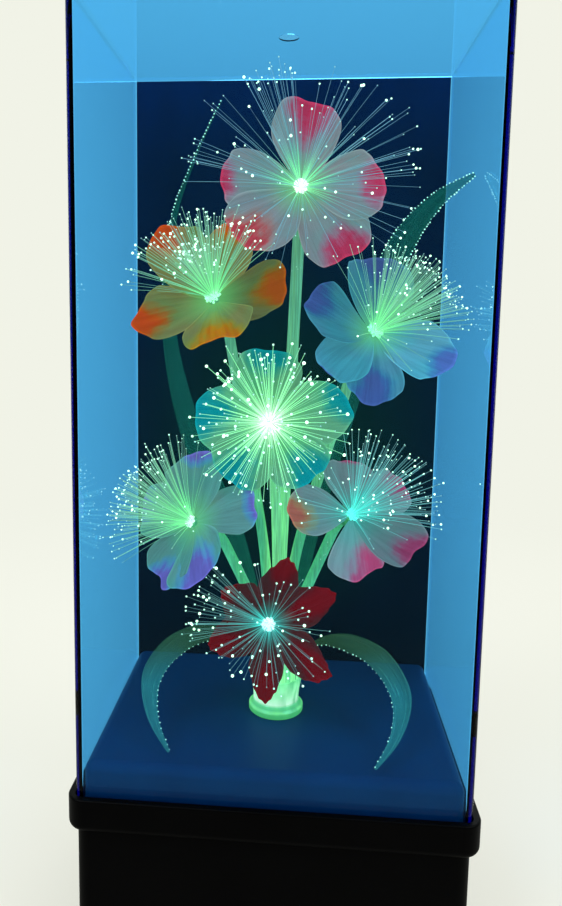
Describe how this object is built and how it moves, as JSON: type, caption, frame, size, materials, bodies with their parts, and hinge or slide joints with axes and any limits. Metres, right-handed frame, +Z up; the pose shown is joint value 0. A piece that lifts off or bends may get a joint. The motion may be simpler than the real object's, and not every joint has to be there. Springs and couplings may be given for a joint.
{
  "type": "fiber optic lamp",
  "caption": "Fibre optic lamp: silk flowers with sprays of light-tipped fibres in a tall clear-blue case on a black base that holds a lamp and a turning colour wheel.",
  "frame": {"origin": "middle of the plane under the four rubber feet, where the lamp rests", "axes": "+Z up the case, -Y towards the front, +Y towards the switch and inlet, +X to the viewer's right"},
  "size_m": [0.1564, 0.1144, 0.3652],
  "materials": {
    "case_blue": "clear blue moulded acrylic, polished",
    "panel_black": "black sheet, satin",
    "base_black": "black moulded plastic, semi-gloss",
    "deck_blue": "dark slate-blue moulded plastic, satin",
    "plate_black": "black moulded plastic, fine texture",
    "foot_rubber": "soft black rubber",
    "screw_steel": "zinc-plated steel",
    "collar_glow": "translucent collar lit from below",
    "bundle_glow": "packed polymer fibres, polished end",
    "ferrule_brass": "plain brass band",
    "stem_glow": "translucent tube packed with fibres",
    "fibre_glow": "bare polymer fibre with a bright end",
    "calyx_green": "green moulded cup, matte",
    "petal_pink": "stamped silk, white heart and deep pink edge",
    "petal_orange": "stamped silk, yellow heart and orange edge",
    "petal_violet": "stamped silk, blue with violet tips",
    "petal_teal": "stamped silk, teal with a white heart",
    "petal_lilac": "stamped silk, white heart and lilac tips",
    "petal_rose": "stamped silk, white heart and rose tips",
    "petal_red": "stamped silk, deep red with a cut edge",
    "leaf_green": "translucent soft plastic blade with lit edges",
    "wheel_clear": "clear plastic disc",
    "filter_colours": "coloured gel film, one colour a sector",
    "shaft_steel": "ground steel",
    "motor_zinc": "zinc-plated sheet can",
    "bracket_steel": "bent zinc-plated sheet",
    "reflector_bright": "faceted coated glass reflector",
    "capsule_glass": "clear quartz capsule",
    "holder_ceramic": "off-white heat-proof block",
    "switch_black": "black moulded plastic",
    "rocker_black": "black moulded plastic, semi-gloss",
    "inlet_black": "black moulded plastic with a metal pin",
    "lead_black": "black soft insulation"
  },
  "bodies": {
    "base": {"base_housing": "base_black", "base_plate": "plate_black", "base_screws": "screw_steel", "bundle_collar": "collar_glow", "bundle_ferrule": "ferrule_brass", "calyx_a": "calyx_green", "calyx_b": "calyx_green", "calyx_c": "calyx_green", "calyx_d": "calyx_green", "calyx_e": "calyx_green", "calyx_f": "calyx_green", "calyx_g": "calyx_green", "deck_panel": "deck_blue", "fibre_bundle": "bundle_glow", "lamp_bracket": "bracket_steel", "lamp_capsule": "capsule_glass", "lamp_holder": "holder_ceramic", "lamp_reflector": "reflector_bright", "lamp_screws": "screw_steel", "lead_inlet_switch": "lead_black", "lead_lamp_motor": "lead_black", "lead_switch_lamp": "lead_black", "leaf_lower_left": "leaf_green", "leaf_lower_right": "leaf_green", "leaf_upper_left": "leaf_green", "leaf_upper_right": "leaf_green", "motor_body": "motor_zinc", "motor_bracket": "bracket_steel", "motor_screws": "screw_steel", "petals_a": "petal_pink", "petals_b": "petal_orange", "petals_c": "petal_violet", "petals_d": "petal_teal", "petals_e": "petal_lilac", "petals_f": "petal_rose", "petals_g": "petal_red", "power_inlet": "inlet_black", "rubber_feet": "foot_rubber", "spray_a": "fibre_glow", "spray_b": "fibre_glow", "spray_c": "fibre_glow", "spray_d": "fibre_glow", "spray_e": "fibre_glow", "spray_f": "fibre_glow", "spray_g": "fibre_glow", "stem_a": "stem_glow", "stem_b": "stem_glow", "stem_c": "stem_glow", "stem_d": "stem_glow", "stem_e": "stem_glow", "stem_f": "stem_glow", "stem_g": "stem_glow", "switch_body": "switch_black"},
    "cover": {"cover_shell": "case_blue", "back_panel": "panel_black"},
    "wheel": {"wheel_disc": "wheel_clear", "colour_filters": "filter_colours", "motor_shaft": "shaft_steel"},
    "switch": {"rocker": "rocker_black"}
  },
  "joints": [
    {"name": "cover_lift", "type": "slide", "parent": "base", "child": "cover", "axis": [0, 0, 1], "range_m": [0, 0.3]},
    {"name": "colour_wheel", "type": "hinge", "parent": "base", "child": "wheel", "pos_m": [0.03, 0, 0.052], "axis": [0, 0, 1], "continuous": true},
    {"name": "power_switch", "type": "hinge", "parent": "base", "child": "switch", "pos_m": [-0.04, 0.0522, 0.03], "axis": [1, 0, 0], "range_deg": [-16, 0]}
  ]
}
